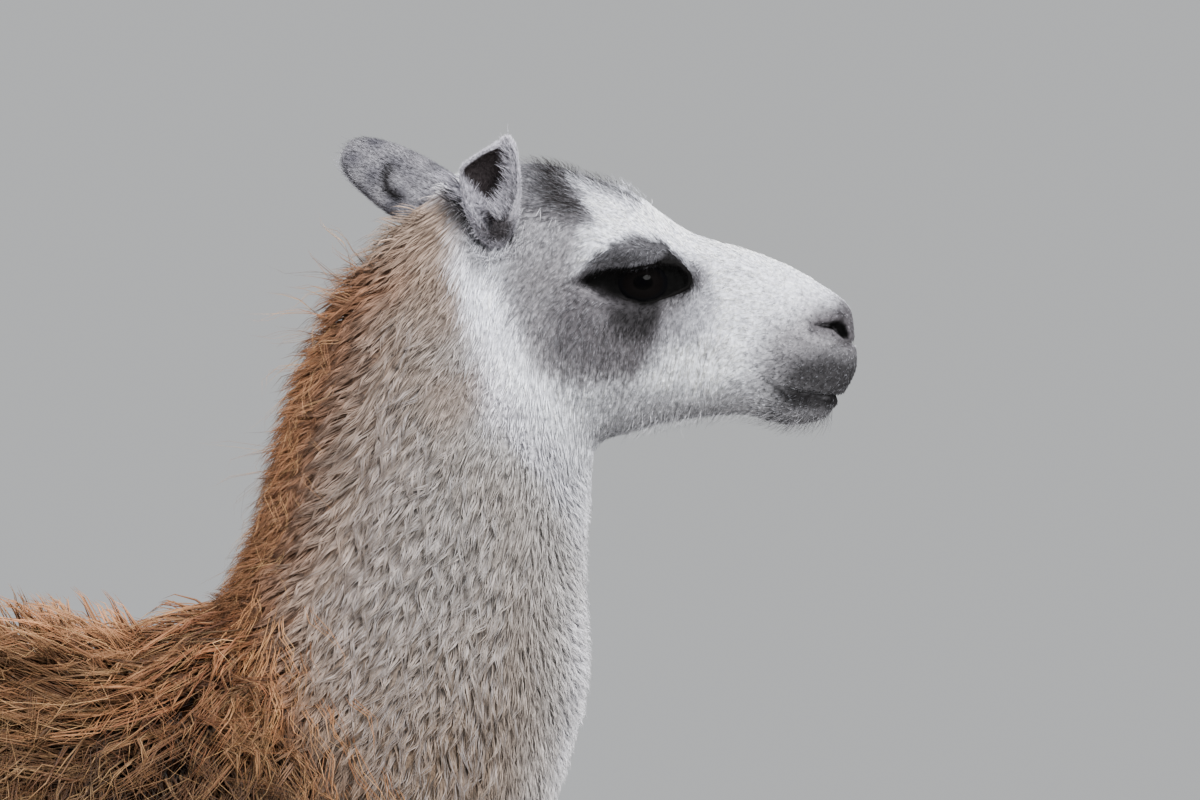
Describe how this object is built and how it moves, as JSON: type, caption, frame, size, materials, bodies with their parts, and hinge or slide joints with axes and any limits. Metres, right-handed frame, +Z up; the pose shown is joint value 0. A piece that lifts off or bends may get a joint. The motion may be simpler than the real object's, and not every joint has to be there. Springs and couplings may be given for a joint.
{
  "type": "llama",
  "caption": "Standing llama at life size with short fur on the face, plush wool on the neck and long brown wool on the back, as a still museum model.",
  "frame": {"origin": "on the floor, below the middle of the overall box", "axes": "+X forward to the nose, +Y to the animal's left, +Z up"},
  "size_m": [1.3836, 0.4826, 1.4919],
  "materials": {
    "face_coat": "short flat fur, white with grey round the eye, on the crown and on the lips",
    "neck_coat": "plush beige-grey wool, nearly white in front, rusty brown along the nape",
    "body_coat": "long tangled rusty-brown wool, lighter at its tips and off-white below",
    "leg_coat": "short close fur, light tan fading to off-white at the feet",
    "eye": "wet glossy near-black",
    "nail": "dark horn, smooth with fine growth lines"
  },
  "bodies": {
    "root": {"head": "face_coat", "muzzle": "face_coat", "lower_jaw": "face_coat", "ear_right": "face_coat", "ear_left": "face_coat", "neck": "neck_coat", "forequarters": "body_coat", "barrel": "body_coat", "hindquarters": "body_coat", "tail": "body_coat", "fore_forearm_right": "leg_coat", "fore_forearm_left": "leg_coat", "fore_cannon_right": "leg_coat", "fore_cannon_left": "leg_coat", "fore_foot_right": "leg_coat", "fore_foot_left": "leg_coat", "hind_thigh_right": "leg_coat", "hind_thigh_left": "leg_coat", "hind_cannon_right": "leg_coat", "hind_cannon_left": "leg_coat", "hind_foot_right": "leg_coat", "hind_foot_left": "leg_coat", "eye_right": "eye", "eye_left": "eye", "nail_fore_right_outer": "nail", "nail_fore_right_inner": "nail", "nail_fore_left_outer": "nail", "nail_fore_left_inner": "nail", "nail_hind_right_outer": "nail", "nail_hind_right_inner": "nail", "nail_hind_left_outer": "nail", "nail_hind_left_inner": "nail"}
  },
  "joints": []
}
